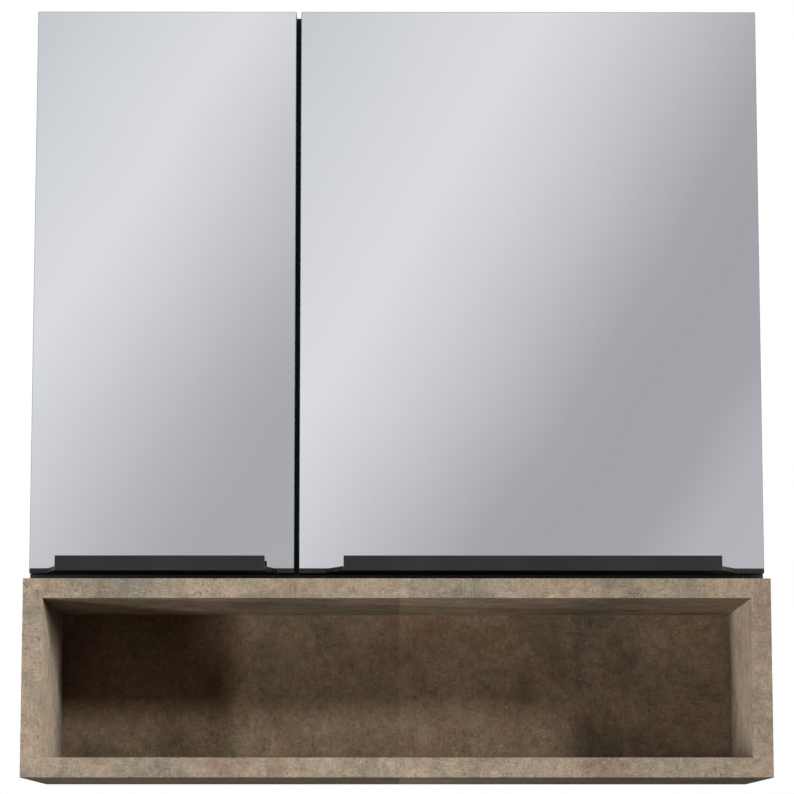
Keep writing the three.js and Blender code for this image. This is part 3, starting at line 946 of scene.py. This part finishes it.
def add_cup(side, level):
    """A drawn steel cup with a rolled rim, two ears with their screws, and the bracket inside it."""
    node = f"{side}_hinge_cup_{level}"
    low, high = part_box(node)
    door_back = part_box(f"{side}_door_board")[1].y
    mesh = bmesh.new()
    turned(mesh, metres(CUP_PROFILE), CUP_SIDES)
    upper_ear = ear_outline()
    lower_ear = [(x, -y) for x, y in reversed(upper_ear)]
    for ear, rise in ((upper_ear, EAR_SCREW_RISE), (lower_ear, -EAR_SCREW_RISE)):
        prism(mesh, ear, EAR_UNDERSIDE, EAR_TOP)
        screw(mesh, HINGE_SCREW_RADIUS, EAR_SCREW_HEIGHT, (EAR_FROM + EAR_TO) / 2, rise, EAR_TOP)
    add_bracket(mesh)
    origin = Vector(((low.x + high.x) / 2, door_back, (low.z + high.z) / 2))
    placed(mesh, origin, inward_from(side), UP, BACK)
    add_piece(node, softened(mesh, CUP_EDGE), f"{side}_door", [NICKEL])


def channel_outline():
    """An arm's section: X from the cabinet's side and Y up, round the outside and back inside."""
    bend_x = ARM_TALL - ARM_BEND
    bend_y = ARM_HALF - ARM_BEND
    inner_bend = ARM_BEND - ARM_WALL
    outside = [(0, -ARM_HALF)]
    outside += arc(bend_x, -bend_y, ARM_BEND, 270, 360)
    outside += arc(bend_x, bend_y, ARM_BEND, 0, 90)
    outside += [(0, ARM_HALF)]
    inside = [(0, ARM_HALF - ARM_WALL)]
    inside += arc(bend_x, bend_y, inner_bend, 90, 0)
    inside += arc(bend_x, -bend_y, inner_bend, 0, -90)
    inside += [(0, ARM_WALL - ARM_HALF)]
    return outside + inside


def add_arm(side, level):
    """A folded steel channel over the mounting plate, with its two adjusting screws."""
    node = f"{side}_hinge_arm_{level}"
    origin, length = on_cabinet_side(side, node)
    inward = inward_from(side)
    channel = bmesh.new()
    prism(channel, channel_outline(), 0, length)
    placed(channel, origin, inward, UP, BACK)
    heads = bmesh.new()
    for along in ARM_SCREW_PLACES:
        screw(heads, HINGE_SCREW_RADIUS, HINGE_SCREW_HEIGHT, along, 0, ARM_TALL - ARM_SCREW_SUNK)
    placed(heads, origin, BACK, UP, inward)
    add_piece(node, softened(joined(channel, heads), ARM_EDGE), "cabinet", [NICKEL])


def add_plate(side, level):
    """A cross-shaped mounting plate with rounded wings and a screw in each."""
    node = f"{side}_hinge_plate_{level}"
    origin, length = on_cabinet_side(side, node)
    wing_end = length - WING_REAR
    wings = rounded_rectangle(WING_FRONT, wing_end, -WING_REACH, WING_REACH, WING_CORNER)
    ridge = rounded_rectangle(0, length, -RIDGE_HALF, RIDGE_HALF, RIDGE_CORNER)
    mesh = bmesh.new()
    prism(mesh, wings, 0, WING_THICK)
    prism(mesh, ridge, RIDGE_UNDERSIDE, RIDGE_TOP)
    for rise in (WING_SCREW_RISE, -WING_SCREW_RISE):
        screw(mesh, HINGE_SCREW_RADIUS, HINGE_SCREW_HEIGHT, (WING_FRONT + wing_end) / 2, rise,
              WING_THICK - WING_SCREW_SUNK)
    placed(mesh, origin, BACK, UP, inward_from(side))
    add_piece(node, softened(mesh, PLATE_EDGE), "cabinet", [NICKEL])


def add_link(side, level):
    """The pack of links that slides out with the door, between the arm and the cup."""
    node = f"{side}_hinge_link_{level}"
    finish_node(node, f"{side}_hinge_links", "nickel", LINK_EDGE, LINK_SEGMENTS)


# ---------------------------------------------------------------- shelf pins

PIN_RADIUS = 2.4 * MM
PIN_IN_BOARD = 6.5 * MM
PIN_REACH = 7 * MM
PIN_CHAMFER = 0.6 * MM
PIN_NOSE = 0.2 * MM
COLLAR_RADIUS = 3.6 * MM
COLLAR_THICK = 1.2 * MM
COLLAR_CHAMFER = 0.3 * MM
PIN_EDGE = 0.05 * MM


def add_shelf_pin(node):
    """A turned pin: its shank is in the board, and the glass rests on the stub beyond its collar."""
    low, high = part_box(node)
    at_left_end = node.endswith("_a")
    face = low.x + PIN_IN_BOARD if at_left_end else high.x - PIN_IN_BOARD
    out = RIGHT if at_left_end else -RIGHT
    mesh = bmesh.new()
    turned(mesh, [
        (PIN_RADIUS - PIN_CHAMFER, -PIN_IN_BOARD),
        (PIN_RADIUS, PIN_CHAMFER - PIN_IN_BOARD),
        (PIN_RADIUS, 0),
        (COLLAR_RADIUS - COLLAR_CHAMFER, 0),
        (COLLAR_RADIUS, COLLAR_CHAMFER),
        (COLLAR_RADIUS, COLLAR_THICK - COLLAR_CHAMFER),
        (COLLAR_RADIUS - COLLAR_CHAMFER, COLLAR_THICK),
        (PIN_RADIUS, COLLAR_THICK),
        (PIN_RADIUS, PIN_REACH - PIN_CHAMFER),
        (PIN_RADIUS - PIN_NOSE, PIN_REACH - PIN_NOSE),
        (PIN_RADIUS - PIN_CHAMFER, PIN_REACH),
    ])
    origin = Vector((face, (low.y + high.y) / 2, (low.z + high.z) / 2))
    across = BACK if at_left_end else -BACK
    placed(mesh, origin, across, UP, out)
    add_piece(node, softened(mesh, PIN_EDGE), "cabinet", [NICKEL])


# ---------------------------------------------------------------- hangers, rail and bumpers

# The dials stand proud of the housing, up to the front of the node's box.
HOUSING_CHAMFER = 8 * MM
HOUSING_EDGE = 0.8 * MM
HOUSING_SEGMENTS = 3
DIAL_RADIUS = 4 * MM
DIAL_HEIGHT = 1.5 * MM
DIAL_RISES = (14 * MM, 29 * MM)
DIAL_EDGE = 0.1 * MM

HOOK_EDGE = 0.4 * MM
RAIL_EDGE = 0.5 * MM
RAIL_SEGMENTS = 3

# a bumper: the share of its height that is a wall, and where its dome ends, in degrees from the wall
BUMPER_WALL = 0.25
BUMPER_DOME_END = 85
BUMPER_DOME_STEPS = 8
BUMPER_EDGE = 0.02 * MM


def add_hanger(side):
    """A moulded housing with its two adjusting dials, and the steel hook behind it."""
    node = f"hanger_housing_{side}"
    low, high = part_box(node)
    front = low.y + DIAL_HEIGHT
    # drawn with X to the back and Y up
    profile = [
        (front, low.z + HOUSING_CHAMFER),
        (front + HOUSING_CHAMFER, low.z),
        (high.y, low.z),
        (high.y, high.z),
        (front, high.z),
    ]
    housing = bmesh.new()
    prism(housing, profile, 0, high.x - low.x)
    placed(housing, Vector((low.x, 0, 0)), BACK, UP, RIGHT)
    dials = bmesh.new()
    for rise in DIAL_RISES:
        screw(dials, DIAL_RADIUS, DIAL_HEIGHT, 0, rise, 0)
    placed(dials, Vector(((low.x + high.x) / 2, front, low.z)), RIGHT, UP, -BACK)
    both = joined(softened(housing, HOUSING_EDGE, HOUSING_SEGMENTS), softened(dials, DIAL_EDGE))
    add_piece(node, both, "cabinet", [HANGER_PLASTIC, ZINC],
              pick=lambda face: 1 if face.calc_center_median().y < front - WELD else 0)
    finish_node(f"hanger_hook_{side}", "cabinet", "zinc", HOOK_EDGE)


def add_bumper(side):
    """A clear dome that the door closes on."""
    node = f"door_bumper_{side}"
    low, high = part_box(node)
    radius, tall = (high.x - low.x) / 2, high.y - low.y
    profile = [(radius, 0)]
    for step in range(BUMPER_DOME_STEPS + 1):
        angle = math.radians(BUMPER_DOME_END * step / BUMPER_DOME_STEPS)
        rise = BUMPER_WALL + (1 - BUMPER_WALL) * math.sin(angle)
        profile.append((radius * math.cos(angle), tall * rise))
    mesh = bmesh.new()
    turned(mesh, profile)
    origin = Vector(((low.x + high.x) / 2, high.y, (low.z + high.z) / 2))
    placed(mesh, origin, RIGHT, UP, -BACK)
    add_piece(node, softened(mesh, BUMPER_EDGE), "cabinet", [SILICONE])


def add_hardware():
    """The hinges, hangers, bumpers, shelf pins and the wall rail."""
    for side in SIDES:
        for level in LEVELS:
            add_cup(side, level)
            add_arm(side, level)
            add_plate(side, level)
            add_link(side, level)
        add_hanger(side)
        add_bumper(side)
    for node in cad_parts:
        if node.startswith("shelf_pin_"):
            add_shelf_pin(node)
    finish_node("wall_rail", "cabinet", "zinc", RAIL_EDGE, RAIL_SEGMENTS)


# ---------------------------------------------------------------- the scene


def add_floor():
    """A wide floor below the cabinet, which throws no light back up at it."""
    mesh = bpy.data.meshes.new("floor")
    reach = FLOOR_SIZE / 2
    height = box_bottom - FLOOR_BELOW
    corners = [(x, y, height) for x, y in rectangle(-reach, reach, -reach, reach)]
    mesh.from_pydata(corners, [], [(0, 1, 2, 3)])
    mesh.materials.append(floor_look())
    floor = bpy.data.objects.new("floor", mesh)
    show(floor)
    floor.visible_diffuse = False


bpy.context.scene.view_settings.view_transform = "Standard"
add_camera()
add_world()
for lamp in LAMPS:
    add_lamp(*lamp)
add_floor()
add_shelf_box()
add_carcass()
for side in SIDES:
    add_door(side)
add_shelves()
add_hardware()
